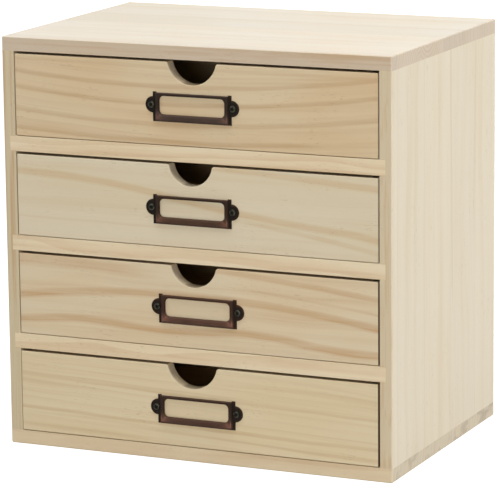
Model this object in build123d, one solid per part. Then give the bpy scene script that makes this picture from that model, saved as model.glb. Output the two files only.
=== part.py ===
from build123d import *
import os
from math import atan2, degrees

# A tabletop pine cabinet with four inset drawers, each with a finger notch and a label frame.
# Millimetres, +Z up. The drawers open towards -Y. The origin is the middle of the cabinet's
# underside. Drawer 1 is the top drawer.

# ---------------------------------------------------------------- driving sizes: cabinet
cabinet_width = 320.0
cabinet_depth = 220.0
cabinet_height = 320.0

top_thickness = 11.0
bottom_thickness = 11.0
side_thickness = 10.0
divider_thickness = 12.0
back_thickness = 3.0

dado_depth = 4.75  # how far each end of a divider is housed in its side
back_lap = 5.0  # width of the rabbet that the back panel lies in
back_play = 0.25  # gap round the back panel in its rabbet
board_ease = 0.7  # sanded flat along the cabinet's outer edges
opening_ease = 0.3  # the same along the edges of the drawer bays

dowel_radius = 3.0
dowel_in_panel = 7.0
dowel_in_side = 17.0
dowel_play = 0.05  # all round the dowel
dowel_glue_gap = 0.5  # past each end of the dowel
dowel_from_edge = 34.0  # first and last dowel from the front and the rear
dowels_per_joint = 2

# ---------------------------------------------------------------- driving sizes: drawers
divider_names = ("upper_divider", "middle_divider", "lower_divider")
drawer_count = len(divider_names) + 1

drawer_lift = 0.5  # running gap under a drawer
drawer_side_gap = 0.75  # running gap on each side
drawer_top_gap = 2.0  # gap over a drawer's front
drawer_rear_gap = 0.4  # a closed drawer to the back panel that stops it

front_thickness = 10.0
front_lip = 4.0  # what the end rabbets leave of the front
front_ease = 0.4  # sanded flat round the front's face and along its notch
box_side_thickness = 8.0
box_back_thickness = 8.0
box_drop = 3.2  # how far the drawer's sides stay below the top of its front
rear_lap = 3.0  # depth of the rabbets that hold the drawer's back
drawer_bottom_thickness = 3.0
groove_depth = 4.0
groove_height = 5.0  # lower edge of the groove over the drawer's underside
groove_play = 0.2  # over the bottom in its groove
bottom_play = 0.3  # between the bottom's edges and the ends of its grooves

notch_corner_radius = 2.0

# Each drawer was cut and fitted by hand, so these differ from the top drawer down.
drawer_shift = (0.0, 0.0, -0.1, -0.4)  # drawer off the middle of its bay
notch_radius = (20.2, 17.9, 18.9, 20.8)
notch_depth = (16.9, 16.1, 16.0, 17.4)
notch_shift = (-0.4, -2.5, -0.9, -2.9)  # notch off the middle of the front
label_shift = (0.0, -1.0, 2.4, 0.7)  # label frame off the middle of the front
label_below_notch = (5.85, 7.45, 6.55, 6.25)  # foot of the notch to the top of the frame

# ---------------------------------------------------------------- driving sizes: fasteners
brad_width = 1.2
brad_thickness = 1.0
brad_head_width = 2.1
brad_head_height = 0.6
brad_play = 0.05
corner_pin_length = 20.0
corner_pin_from_edge = 13.0  # lowest and highest pin from the drawer side's edges
bottom_brad_length = 14.0
bottom_brad_pitch = 100.0
back_brad_length = 12.0
back_brad_from_end = 25.0  # first and last brad of a row from the back panel's corner
back_brads_per_row = 4

screw_radius = 1.3
screw_length = 9.5  # under the head
screw_head_radius = 3.0
screw_head_height = 1.7
screw_play = 0.05

# ---------------------------------------------------------------- driving sizes: label frame
# In its own frame: X across, Y up the drawer's front, Z out of the wood.
window_width = 53.5
window_height = 14.0
window_corner_radius = 3.5
bottom_bar = 5.5
top_bar = 2.35
end_bar = 3.45
flange_width = 2.05  # flat band past each end of the raised bars
flange_step = 0.65  # the flanges' upper corners stand this far over the top bar
sheet = 0.8
frame_rise = 2.4  # ridge over the wood
skirt_rise = 1.2  # upright foot of the bars
end_bevel = 1.2
bottom_bevel = 2.2
top_bevel = 0.5
lip_rise = 1.4  # window's edge over the wood
lip_bevel = 1.2
card_slot = 0.7
ear_radius = 6.2
ear_height = 1.4  # ears and screws over the frame's middle
screw_past_end = 1.15  # from the flange's end outwards
ear_hole_play = 0.2

# ---------------------------------------------------------------- sizes that follow
half_width = cabinet_width / 2
front_y = -cabinet_depth / 2
rear_y = cabinet_depth / 2
inner_half_width = half_width - side_thickness
inner_rear_y = rear_y - back_thickness
underside_of_top = cabinet_height - top_thickness

bay_height = (
    underside_of_top - bottom_thickness - len(divider_names) * divider_thickness
) / drawer_count
bay_pitch = bay_height + divider_thickness

drawer_half_width = inner_half_width - drawer_side_gap
drawer_rear_y = inner_rear_y - drawer_rear_gap
front_height = bay_height - drawer_lift - drawer_top_gap
front_back_y = front_y + front_thickness
box_front_y = front_y + front_lip
box_height = front_height - box_drop
box_inner_half_width = drawer_half_width - box_side_thickness
box_back_y = drawer_rear_y - box_back_thickness
bottom_top_z = groove_height + drawer_bottom_thickness

raised_half_width = window_width / 2 + end_bar
frame_half_width = raised_half_width + flange_width
frame_height = bottom_bar + window_height + top_bar + flange_step
raised_low = -frame_height / 2
raised_high = frame_height / 2 - flange_step
window_middle = raised_low + bottom_bar + window_height / 2
screw_from_middle = frame_half_width + screw_past_end

past = 1.0  # how far a cutting tool runs past the face that it opens


# ---------------------------------------------------------------- helpers
def block(x, y, z):
    """A box between two limits on each axis."""
    limits = [sorted(pair) for pair in (x, y, z)]
    size = [high - low for low, high in limits]
    middle = [(high + low) / 2 for low, high in limits]
    return Pos(*middle) * Box(*size)


def edges_at(shape, along, **place):
    """The edges parallel to an axis whose middle has the given X, Y or Z."""
    return ShapeList(
        edge
        for edge in shape.edges().filter_by(along)
        if all(abs(getattr(edge.center(), axis) - at) < 0.001 for axis, at in place.items())
    )


def spread(low, high, count):
    """Evenly spaced places from low to high, both ends among them."""
    step = (high - low) / (count - 1)
    return [low + step * index for index in range(count)]


def bay_floor(row):
    """Height of a bay's floor. Row 0 is the top bay."""
    return bottom_thickness + (drawer_count - 1 - row) * bay_pitch


# ---------------------------------------------------------------- cabinet
def back_recess():
    """The space cut for the back panel: a rabbet in each side, stopped ones in top and bottom."""
    reach = inner_half_width + back_lap
    return block(
        (-reach, reach),
        (inner_rear_y, rear_y + past),
        (bottom_thickness - back_lap, underside_of_top + back_lap),
    )


def dowel_places():
    """Foot of each dowel and its direction: +1 where it goes up from the panel into the side."""
    middle_of_side = half_width - side_thickness / 2
    along = spread(front_y + dowel_from_edge, rear_y - dowel_from_edge, dowels_per_joint)
    return [
        (hand * middle_of_side, y, joint, into_side)
        for joint, into_side in ((bottom_thickness, 1), (underside_of_top, -1))
        for hand in (-1, 1)
        for y in along
    ]


def dowel(place, play, gap):
    """One round dowel across a joint, or its hole when it has play and a gap at its ends."""
    x, y, joint, into_side = place
    low, high = sorted(
        (joint - into_side * (dowel_in_panel + gap), joint + into_side * (dowel_in_side + gap))
    )
    return Pos(x, y, (low + high) / 2) * Cylinder(dowel_radius + play, high - low)


def corner_dowels():
    """The dowels that join top and bottom to the sides."""
    return Compound([dowel(place, 0.0, 0.0) for place in dowel_places()])


def cabinet_dowel_holes():
    """The holes for the corner dowels."""
    return [dowel(place, dowel_play, dowel_glue_gap) for place in dowel_places()]


def back_brad_places():
    """Places of the brads round the back panel: X, Z."""
    across = inner_half_width + back_lap / 2
    low = bottom_thickness - back_lap / 2
    high = underside_of_top + back_lap / 2
    columns = spread(-across + back_brad_from_end, across - back_brad_from_end, back_brads_per_row)
    rows = spread(low + back_brad_from_end, high - back_brad_from_end, back_brads_per_row)
    flat = [(x, z) for x in columns for z in (low, high)]
    upright = [(x, z) for z in rows for x in (-across, across)]
    return flat + upright


def pin(length, play):
    """A headless wire pin that points along -Z with its end at the origin, or its hole."""
    half_wide = brad_width / 2 + play
    half_thick = brad_thickness / 2 + play
    return block((-half_wide, half_wide), (-half_thick, half_thick), (-length - play, 0))


def brad(length, play):
    """A wire brad that points along -Z with its head's face at the origin, or its hole."""
    half_head = brad_head_width / 2 + play
    half_thick = brad_thickness / 2 + play
    head = block((-half_head, half_head), (-half_thick, half_thick), (-brad_head_height - play, 0))
    return head + pin(length, play)


def back_panel_brads(play=0.0):
    """The brads that hold the back panel, driven forwards from its rear face."""
    point_forward = Rot(-90, 0, 0)
    return [
        Pos(x, rear_y, z) * point_forward * brad(back_brad_length, play)
        for x, z in back_brad_places()
    ]


def flat_panel(low, high, outer):
    """The top or bottom board between two heights. Its corners and its outer face are eased."""
    board = block((-half_width, half_width), (front_y, rear_y), (low, high))
    face = [edge for along in (Axis.X, Axis.Y) for edge in edges_at(board, along, Z=outer)]
    board = chamfer(board.edges().filter_by(Axis.Z) + face, board_ease)
    return board - [back_recess(), *cabinet_dowel_holes(), *back_panel_brads(brad_play)]


def side_panel(hand):
    """A side board: hand is -1 for the left and +1 for the right."""
    inner = hand * inner_half_width
    outer = hand * half_width
    board = block((inner, outer), (front_y, rear_y), (bottom_thickness, underside_of_top))
    board = chamfer(edges_at(board, Axis.Z, X=outer), board_ease)
    board = chamfer(edges_at(board, Axis.Z, X=inner, Y=front_y), opening_ease)
    dados = [
        block(
            (inner - hand * past, inner + hand * dado_depth),
            (front_y - past, rear_y + past),
            (bay_floor(row) - divider_thickness, bay_floor(row)),
        )
        for row in range(len(divider_names))
    ]
    holes = [*dados, back_recess(), *cabinet_dowel_holes(), *back_panel_brads(brad_play)]
    return board - holes


def divider(row):
    """The shelf board under a bay, housed in both sides and eased along its front edges."""
    reach = inner_half_width + dado_depth
    floor = bay_floor(row)
    board = block((-reach, reach), (front_y, inner_rear_y), (floor - divider_thickness, floor))
    return chamfer(edges_at(board, Axis.X, Y=front_y), opening_ease)


def back_panel():
    """The thin plywood back in its rabbets."""
    reach = inner_half_width + back_lap - back_play
    low = bottom_thickness - back_lap + back_play
    high = underside_of_top + back_lap - back_play
    board = block((-reach, reach), (inner_rear_y, rear_y), (low, high))
    return board - back_panel_brads(brad_play)


def cabinet_pieces():
    """Every piece of the cabinet by its name."""
    pieces = {
        "top_panel": flat_panel(underside_of_top, cabinet_height, cabinet_height),
        "bottom_panel": flat_panel(0.0, bottom_thickness, 0.0),
        "left_side_panel": side_panel(-1),
        "right_side_panel": side_panel(1),
        "back_panel": back_panel(),
        "back_panel_brads": Compound(back_panel_brads()),
        "corner_dowels": corner_dowels(),
    }
    for row, name in enumerate(divider_names):
        pieces[name] = divider(row)
    return pieces


# ---------------------------------------------------------------- drawer box
# A drawer is built on the middle of its bay with its underside at Z = 0.
def corner_pins(play=0.0):
    """The pins through the drawer's sides, two into the front and two into the back each side."""
    in_front = (box_front_y + front_back_y) / 2
    in_back = (box_back_y + drawer_rear_y) / 2
    heights = (corner_pin_from_edge, box_height - corner_pin_from_edge)
    return [
        Pos(hand * drawer_half_width, y, z) * Rot(0, hand * 90, 0) * pin(corner_pin_length, play)
        for hand in (-1, 1)
        for y in (in_front, in_back)
        for z in heights
    ]


def bottom_brads(play=0.0):
    """The brads up through the drawer's bottom into its back."""
    y = (box_back_y + drawer_rear_y) / 2
    point_up = Rot(180, 0, 0)
    return [
        Pos(x, y, groove_height) * point_up * brad(bottom_brad_length, play)
        for x in (-bottom_brad_pitch, 0.0, bottom_brad_pitch)
    ]


def drawer_brads():
    """A drawer's corner pins and bottom brads."""
    return Compound([*corner_pins(), *bottom_brads()])


def bottom_groove():
    """The groove round the drawer for its bottom, open at the rear."""
    reach = box_inner_half_width + groove_depth
    return block(
        (-reach, reach),
        (front_back_y - groove_depth, drawer_rear_y + past),
        (groove_height, bottom_top_z + groove_play),
    )


def foot_of_notch(row):
    """Height of the finger notch's lowest point."""
    return front_height - notch_depth[row]


def label_middle(row):
    """The middle of a drawer's label frame: X and Z."""
    top_of_frame = foot_of_notch(row) - label_below_notch[row]
    return label_shift[row], top_of_frame - frame_height / 2


def on_front(row):
    """Carries a piece from the label frame's own axes to its place on the drawer's front."""
    x, z = label_middle(row)
    return Pos(x, front_y, z) * Rot(90, 0, 0)


def drawer_front(row):
    """The front board: finger notch, eased face, rabbeted ends and a groove for the bottom."""
    board = block(
        (-drawer_half_width, drawer_half_width), (front_y, front_back_y), (0.0, front_height)
    )
    middle_y = (front_y + front_back_y) / 2
    radius = notch_radius[row]
    centre_z = foot_of_notch(row) + radius
    cutter = Cylinder(radius, front_thickness + 2 * past, rotation=(90, 0, 0))
    board -= Pos(notch_shift[row], middle_y, centre_z) * cutter
    half_chord = (radius**2 - (centre_z - front_height) ** 2) ** 0.5
    for end in (-1, 1):
        corner = edges_at(board, Axis.Y, X=notch_shift[row] + end * half_chord, Z=front_height)
        board = fillet(corner, notch_corner_radius)
    board = chamfer(board.faces().sort_by(Axis.Y)[0].edges(), front_ease)
    end_rabbets = [
        block(
            (end * box_inner_half_width, end * (drawer_half_width + past)),
            (box_front_y, front_back_y + past),
            (-past, front_height + past),
        )
        for end in (-1, 1)
    ]
    pilots = [on_front(row) * hole for hole in screw_pilots()]
    return board - [*end_rabbets, bottom_groove(), *corner_pins(brad_play), *pilots]


def drawer_side(hand):
    """A side of the drawer box: hand is -1 for the left and +1 for the right."""
    inner = hand * box_inner_half_width
    board = block(
        (inner, hand * drawer_half_width), (box_front_y, drawer_rear_y), (0.0, box_height)
    )
    rear_rabbet = block(
        (inner - hand * past, inner + hand * rear_lap),
        (box_back_y, drawer_rear_y + past),
        (-past, box_height + past),
    )
    return board - [bottom_groove(), rear_rabbet, *corner_pins(brad_play)]


def drawer_back():
    """The back of the drawer box, which stands on the bottom."""
    reach = box_inner_half_width + rear_lap
    board = block((-reach, reach), (box_back_y, drawer_rear_y), (bottom_top_z, box_height))
    return board - [*corner_pins(brad_play), *bottom_brads(brad_play)]


def drawer_bottom():
    """The plywood bottom, which slides in from the rear."""
    reach = box_inner_half_width + groove_depth - bottom_play
    board = block(
        (-reach, reach),
        (front_back_y - groove_depth + bottom_play, drawer_rear_y),
        (groove_height, bottom_top_z),
    )
    return board - bottom_brads(brad_play)


# ---------------------------------------------------------------- label frame and screws
def raised_outline(inset):
    """The raised part's foot, drawn in by an inset: low X, high X, low Y, high Y."""
    reach = raised_half_width - inset
    return -reach, reach, raised_low + inset, raised_high - inset


def rectangle_at(limits, height):
    """A rectangle between four limits, at a height over the wood."""
    low_x, high_x, low_y, high_y = limits
    middle = Pos((low_x + high_x) / 2, (low_y + high_y) / 2, height)
    return middle * Rectangle(high_x - low_x, high_y - low_y)


def pressed_form(inset, drop):
    """The raised part as a full body: an upright foot under four bevels, drawn in and lowered."""
    low_x, high_x, low_y, high_y = raised_outline(inset)
    foot = rectangle_at((low_x, high_x, low_y, high_y), skirt_rise - drop)
    ridge = rectangle_at(
        (low_x + end_bevel, high_x - end_bevel, low_y + bottom_bevel, high_y - top_bevel),
        frame_rise - drop,
    )
    body = block((low_x, high_x), (low_y, high_y), (0.0, skirt_rise - drop))
    return body + loft([foot, ridge], ruled=True)


def window_plug(grow):
    """The window's space: straight up to the lip and flared over it. Grown, it keeps the lip."""
    run_out = frame_rise - lip_rise
    flare = lip_bevel * (run_out + past) / run_out
    outlines = [
        Pos(0, window_middle, height)
        * RectangleRounded(
            window_width + 2 * out,
            window_height + 2 * out,
            window_corner_radius + out,
        )
        for height, out in ((lip_rise, grow), (frame_rise + past, grow + flare))
    ]
    straight = Pos(0, 0, -lip_rise - past) * extrude(outlines[0], lip_rise + past, dir=(0, 0, 1))
    return straight + loft(outlines, ruled=True)


def flanges():
    """The two flat bands with their round ears, cut from the same sheet."""
    outline = Rectangle(2 * frame_half_width, frame_height)
    for end in (-1, 1):
        outline += Pos(end * frame_half_width, ear_height) * Circle(ear_radius)
    outline -= Rectangle(2 * (raised_half_width - sheet), frame_height + 2 * past)
    for end in (-1, 1):
        hole = Circle(screw_radius + ear_hole_play)
        outline -= Pos(end * screw_from_middle, ear_height) * hole
    return extrude(outline, sheet, dir=(0, 0, 1))


def label_frame():
    """The pressed frame: hollow bars with a turned-in lip, open at the top for a card."""
    hollow = pressed_form(sheet, sheet) - window_plug(sheet)
    low_x, high_x, low_y, _ = raised_outline(sheet)
    slot = block((low_x, high_x), (low_y, frame_height / 2 + past), (-past, card_slot))
    bars = pressed_form(0.0, 0.0) - [hollow, window_plug(0.0), slot]
    return bars + flanges()


def screw():
    """A round-head wood screw that points into the wood, with its head's foot at the origin."""
    dome_radius = (screw_head_radius**2 + screw_head_height**2) / (2 * screw_head_height)
    dome_centre = screw_head_height - dome_radius
    rim_angle = degrees(atan2(-dome_centre, screw_head_radius))
    flank = Polyline(
        (0, -screw_length), (screw_radius, -screw_length), (screw_radius, 0), (screw_head_radius, 0)
    )
    dome = CenterArc((0, dome_centre), dome_radius, rim_angle, 90 - rim_angle)
    profile = make_face([*flank.edges(), dome, Line(dome @ 1, flank @ 0)])
    return revolve(Plane.XZ * profile, Axis.Z)


def screw_places():
    """Where the two screws stand on the ears."""
    return [Pos(end * screw_from_middle, ear_height, sheet) for end in (-1, 1)]


def screw_pilots():
    """The holes that the screws' shanks fill in the wood."""
    depth = screw_length - sheet + screw_play
    hole = Pos(0, 0, (past - depth) / 2) * Cylinder(screw_radius + screw_play, depth + past)
    return [Pos(end * screw_from_middle, ear_height) * hole for end in (-1, 1)]


def drawer_pieces(row):
    """Every piece of one drawer by its name, in its place in the cabinet."""
    in_bay = Pos(drawer_shift[row], 0, bay_floor(row) + drawer_lift)
    pieces = {
        "front": drawer_front(row),
        "left_side": drawer_side(-1),
        "right_side": drawer_side(1),
        "back": drawer_back(),
        "bottom": drawer_bottom(),
        "brads": drawer_brads(),
        "label_frame": on_front(row) * label_frame(),
        "label_screws": Compound([on_front(row) * place * screw() for place in screw_places()]),
    }
    return {f"drawer_{row + 1}_{name}": in_bay * piece for name, piece in pieces.items()}


# ---------------------------------------------------------------- writing the parts
def main():
    """Writes one STEP file for each piece."""
    os.makedirs("parts", exist_ok=True)
    pieces = cabinet_pieces()
    for row in range(drawer_count):
        pieces.update(drawer_pieces(row))
    for name, piece in pieces.items():
        export_step(piece, f"parts/{name}.step")


main()
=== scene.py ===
"""Looks of a four-drawer tabletop cabinet in bare pine with dark bronze label frames.

The boards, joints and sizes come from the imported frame. This script dresses every board in a
solid pine, plywood or beech finish, models the pressed label frames and their screws in full,
and sets up the floor, the soft lights and the camera.
"""

import logging
import math
from dataclasses import dataclass, field
from enum import Enum
from typing import Any, Iterable, Optional, Sequence, Union

import bmesh
import bpy
import numpy as np
from mathutils import Matrix, Vector


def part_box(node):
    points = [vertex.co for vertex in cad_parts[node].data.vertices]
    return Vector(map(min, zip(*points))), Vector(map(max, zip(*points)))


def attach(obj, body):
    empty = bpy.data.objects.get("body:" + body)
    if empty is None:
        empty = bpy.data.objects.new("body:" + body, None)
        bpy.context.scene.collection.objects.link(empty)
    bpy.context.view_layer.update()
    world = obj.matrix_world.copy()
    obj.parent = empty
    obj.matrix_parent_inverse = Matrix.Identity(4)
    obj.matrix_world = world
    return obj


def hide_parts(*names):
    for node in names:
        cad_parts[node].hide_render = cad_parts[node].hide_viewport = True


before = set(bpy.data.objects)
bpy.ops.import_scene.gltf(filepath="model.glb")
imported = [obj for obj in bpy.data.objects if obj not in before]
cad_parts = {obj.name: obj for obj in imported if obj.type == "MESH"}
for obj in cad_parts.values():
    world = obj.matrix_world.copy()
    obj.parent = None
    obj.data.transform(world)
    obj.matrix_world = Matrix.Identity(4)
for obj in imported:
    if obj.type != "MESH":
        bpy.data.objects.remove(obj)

logging.basicConfig(level=logging.INFO, format="%(name)s: %(message)s")
LOG = logging.getLogger("drawers")

MM = 0.001
Colour = tuple[float, float, float]
Point = tuple[float, float, float]


def lin(red: float, green: float, blue: float) -> Colour:
    """Returns the linear colour of a screen colour given in steps of 0 to 255."""
    steps = (red, green, blue)
    return tuple(
        s / 255 / 12.92 if s <= 10.3 else ((s / 255 + 0.055) / 1.055) ** 2.4 for s in steps
    )


# ------------------------------------------------------------------------------ shader maths
class Sig:
    """A shader socket that Python arithmetic can combine with others and with numbers."""

    def __init__(self, graph: "Graph", socket: bpy.types.NodeSocket) -> None:
        """Wraps an output socket.

        Args:
            graph: The material's graph, which adds the Math nodes.
            socket: The output socket.
        """
        self.graph = graph
        self.socket = socket

    def _math(self, operation: str, *values: "Value") -> "Sig":
        """Returns the result of a Math node.

        Args:
            operation: The Math node's operation.
            values: Its inputs in order.
        """
        return self.graph.node(
            "ShaderNodeMath", {"operation": operation}, dict(enumerate(values))
        )

    def __add__(self, other: "Value") -> "Sig":
        """Sum."""
        return self._math("ADD", self, other)

    def __radd__(self, other: "Value") -> "Sig":
        """Sum with a number on the left."""
        return self._math("ADD", other, self)

    def __sub__(self, other: "Value") -> "Sig":
        """Difference."""
        return self._math("SUBTRACT", self, other)

    def __rsub__(self, other: "Value") -> "Sig":
        """Difference from a number."""
        return self._math("SUBTRACT", other, self)

    def __mul__(self, other: "Value") -> "Sig":
        """Product."""
        return self._math("MULTIPLY", self, other)

    def __rmul__(self, other: "Value") -> "Sig":
        """Product with a number on the left."""
        return self._math("MULTIPLY", other, self)

    def __truediv__(self, other: "Value") -> "Sig":
        """Quotient."""
        return self._math("DIVIDE", self, other)

    def __abs__(self) -> "Sig":
        """Absolute value."""
        return self._math("ABSOLUTE", self)

    def at_least(self, other: "Value") -> "Sig":
        """The larger of two values."""
        return self._math("MAXIMUM", self, other)

    def at_most(self, other: "Value") -> "Sig":
        """The smaller of two values."""
        return self._math("MINIMUM", self, other)

    def floor(self) -> "Sig":
        """The whole number below."""
        return self._math("FLOOR", self)

    def fraction(self) -> "Sig":
        """What is over the whole number below."""
        return self._math("FRACT", self)

    def sine(self) -> "Sig":
        """Sine of an angle in radians."""
        return self._math("SINE", self)

    def root(self) -> "Sig":
        """Square root."""
        return self._math("SQRT", self)

    def ramp(self, low: float, high: float) -> "Sig":
        """Returns 0 below one value, 1 above the other and a smooth rise between them.

        Args:
            low: Where the rise starts.
            high: Where it ends. It may be the smaller one, for a fall.
        """
        rising = low < high
        ends = (low, high) if rising else (high, low)
        out = (0.0, 1.0) if rising else (1.0, 0.0)
        return self.graph.node(
            "ShaderNodeMapRange",
            {"interpolation_type": "SMOOTHSTEP"},
            {0: self, 1: ends[0], 2: ends[1], 3: out[0], 4: out[1]},
        )


Value = Union[Sig, float, int, Sequence[float]]


class Graph:
    """A material's node tree."""

    def __init__(self, name: str) -> None:
        """Makes an empty material.

        Args:
            name: The material's name.
        """
        self.material = bpy.data.materials.new(name)
        self.material.use_nodes = True
        self.tree = self.material.node_tree
        self.tree.nodes.clear()

    def node(
        self,
        kind: str,
        settings: Optional[dict[str, Any]] = None,
        inputs: Optional[dict[Union[int, str], Value]] = None,
        out: Union[int, str] = 0,
    ) -> Sig:
        """Adds a node.

        Args:
            kind: The node's type.
            settings: Properties of the node, which are set first.
            inputs: Values or links by the input's number or name.
            out: The output to return.

        Returns:
            The chosen output.
        """
        made = self.tree.nodes.new(kind)
        for key, value in (settings or {}).items():
            setattr(made, key, value)
        for key, value in (inputs or {}).items():
            self.feed(made.inputs[key], value)
        return Sig(self, made.outputs[out] if made.outputs else None)

    def feed(self, socket: bpy.types.NodeSocket, value: Value) -> None:
        """Links a signal to an input, or sets the input's own value.

        Args:
            socket: The input.
            value: A signal, a number or a colour.
        """
        if isinstance(value, Sig):
            self.tree.links.new(value.socket, socket)
        elif isinstance(value, (int, float)):
            socket.default_value = value
        else:
            size = len(socket.default_value)
            socket.default_value = (*value, 1.0)[:size]

    def position(self) -> tuple[Sig, Sig, Sig]:
        """Returns X, Y and Z of the object's own coordinates, in metres."""
        place = self.node("ShaderNodeTexCoord", out="Object")
        return self.split(place)

    def split(self, vector: Sig) -> tuple[Sig, Sig, Sig]:
        """Returns the three parts of a vector."""
        parted = self.node("ShaderNodeSeparateXYZ", {}, {0: vector}).socket.node
        return tuple(Sig(self, output) for output in parted.outputs)

    def vector(self, x: Value, y: Value, z: Value) -> Sig:
        """Returns the vector of three values."""
        return self.node("ShaderNodeCombineXYZ", {}, {0: x, 1: y, 2: z})

    def noise(self, vector: Sig, detail: float = 2.0, rough: float = 0.5) -> Sig:
        """Returns soft noise from 0 to 1 at a scale of one.

        Args:
            vector: Where it is read.
            detail: Number of finer layers.
            rough: Their strength.
        """
        return self.node(
            "ShaderNodeTexNoise",
            {"noise_dimensions": "3D"},
            {"Vector": vector, "Scale": 1.0, "Detail": detail, "Roughness": rough},
        )

    def cell(self, value: Value) -> Sig:
        """Returns a random value from 0 to 1 that is fixed for each input value."""
        return self.node("ShaderNodeTexWhiteNoise", {"noise_dimensions": "1D"}, {"W": value})

    def mix(self, low: Value, high: Value, factor: Value) -> Sig:
        """Returns a blend of two colours.

        Args:
            low: The colour at 0.
            high: The colour at 1.
            factor: The share of the second.
        """
        made = self.tree.nodes.new("ShaderNodeMix")
        made.data_type = "RGBA"
        colours = [socket for socket in made.inputs if socket.type == "RGBA"]
        self.feed(made.inputs[0], factor)
        self.feed(colours[0], low)
        self.feed(colours[1], high)
        result = [socket for socket in made.outputs if socket.type == "RGBA"][0]
        return Sig(self, result)

    def shade(self, colour: Sig, factor: Value) -> Sig:
        """Returns a colour made lighter or darker by a factor."""
        scaled = self.vector(factor, factor, factor)
        return self.node(
            "ShaderNodeVectorMath", {"operation": "MULTIPLY"}, {0: colour, 1: scaled}
        )

    def bump(self, height: Sig, depth: float) -> Sig:
        """Returns a normal bent by a height.

        Args:
            height: Height from 0 to 1.
            depth: What 1 stands for, in metres.
        """
        return self.node(
            "ShaderNodeBump", {}, {"Height": height, "Distance": depth, "Strength": 1.0}
        )

    def surface(self, colour: Value, rough: Value, **more: Value) -> bpy.types.Material:
        """Finishes the material with a Principled surface.

        Args:
            colour: Base colour.
            rough: Roughness.
            more: Other inputs of the shader, with _ for a space in their names.

        Returns:
            The material.
        """
        inputs = {"Base Color": colour, "Roughness": rough}
        inputs.update({name.replace("_", " "): value for name, value in more.items()})
        shader = self.node("ShaderNodeBsdfPrincipled", {}, inputs)
        self.node("ShaderNodeOutputMaterial", {}, {0: shader})
        return self.material


# ------------------------------------------------------------------------------ wood finishes
class Grain(Enum):
    """How a board lies: the axes along its grain, across its width and through it."""

    ACROSS_FRONT = (0, 2, 1)
    ACROSS_SHELF = (0, 1, 2)
    UPRIGHT = (2, 1, 0)
    FRONT_TO_BACK = (1, 2, 0)


@dataclass(frozen=True)
class Heart:
    """Where the heart of the log lay, from the board's middle, in metres.

    Its line runs along the board as across + rise * t + bow * t * t, where t is the place
    along the grain, and its depth as deep + dive * t.
    """

    across: float = -0.05
    deep: float = 0.04
    rise: float = 0.0
    bow: float = 0.0
    dive: float = 0.0
    ring: float = 0.006
    wander: float = 0.004


@dataclass(frozen=True)
class Streak:
    """A band of darker late wood across a face.

    Its height over the board's middle is a parabola through three heights, at 150 mm left of
    the middle, at the middle and 150 mm right of it, plus a wave. All are in millimetres.
    """

    left: float
    middle: float
    right: float
    width: float
    strength: float
    wave: float = 0.0
    waves: float = 1.0
    phase: float = 0.0
    fade_left: float = -1.4
    fade_right: float = 1.4


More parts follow.
